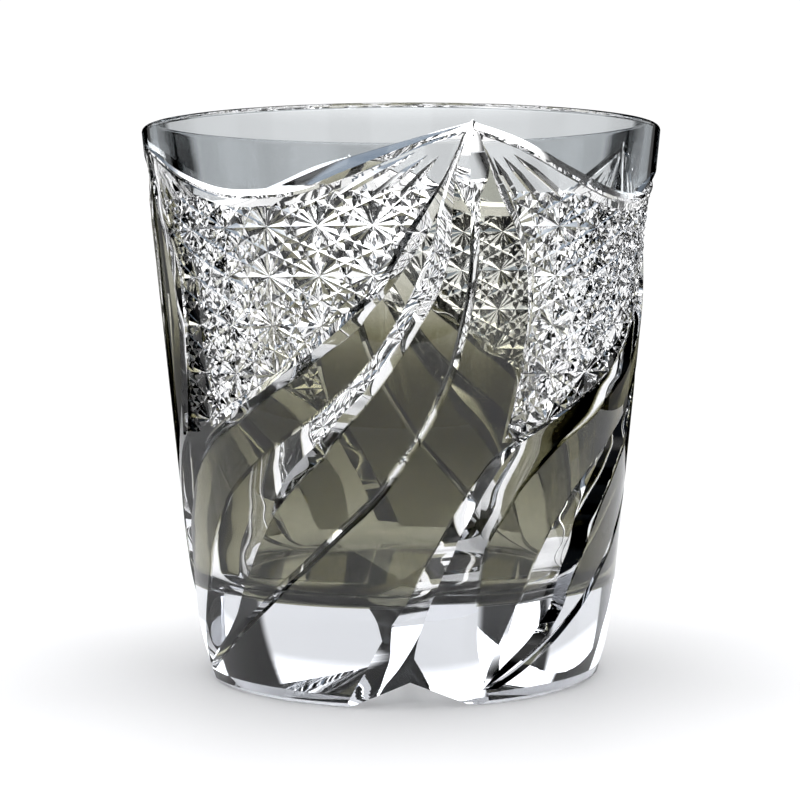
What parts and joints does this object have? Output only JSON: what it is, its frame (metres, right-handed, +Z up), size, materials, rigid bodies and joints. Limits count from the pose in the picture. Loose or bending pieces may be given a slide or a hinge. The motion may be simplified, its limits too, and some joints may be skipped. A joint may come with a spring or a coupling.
{
  "type": "whiskey tumbler",
  "caption": "Heavy-based cut crystal whiskey tumbler, smoke grey casing cut through in swirling sweeps and star-cut fields.",
  "frame": {"origin": "middle of the flat underside", "axes": "+Z up out of the mouth, -Y towards the viewer, one crest of the cut pattern 14 degrees to the right of -Y"},
  "size_m": [0.09, 0.09, 0.0947],
  "materials": {
    "crystal": "polished clear crystal, wheel-cut facets",
    "smoke_glass": "polished smoke grey casing, thin and see-through"
  },
  "bodies": {
    "root": {"crystal_body": "crystal", "smoke_rim_collar": "smoke_glass", "smoke_narrow_panel_1": "smoke_glass", "smoke_narrow_panel_2": "smoke_glass", "smoke_narrow_panel_3": "smoke_glass", "smoke_narrow_panel_4": "smoke_glass", "smoke_mid_panel_1": "smoke_glass", "smoke_mid_panel_2": "smoke_glass", "smoke_mid_panel_3": "smoke_glass", "smoke_mid_panel_4": "smoke_glass", "smoke_wide_panel_1": "smoke_glass", "smoke_wide_panel_2": "smoke_glass", "smoke_wide_panel_3": "smoke_glass", "smoke_wide_panel_4": "smoke_glass"}
  },
  "joints": []
}
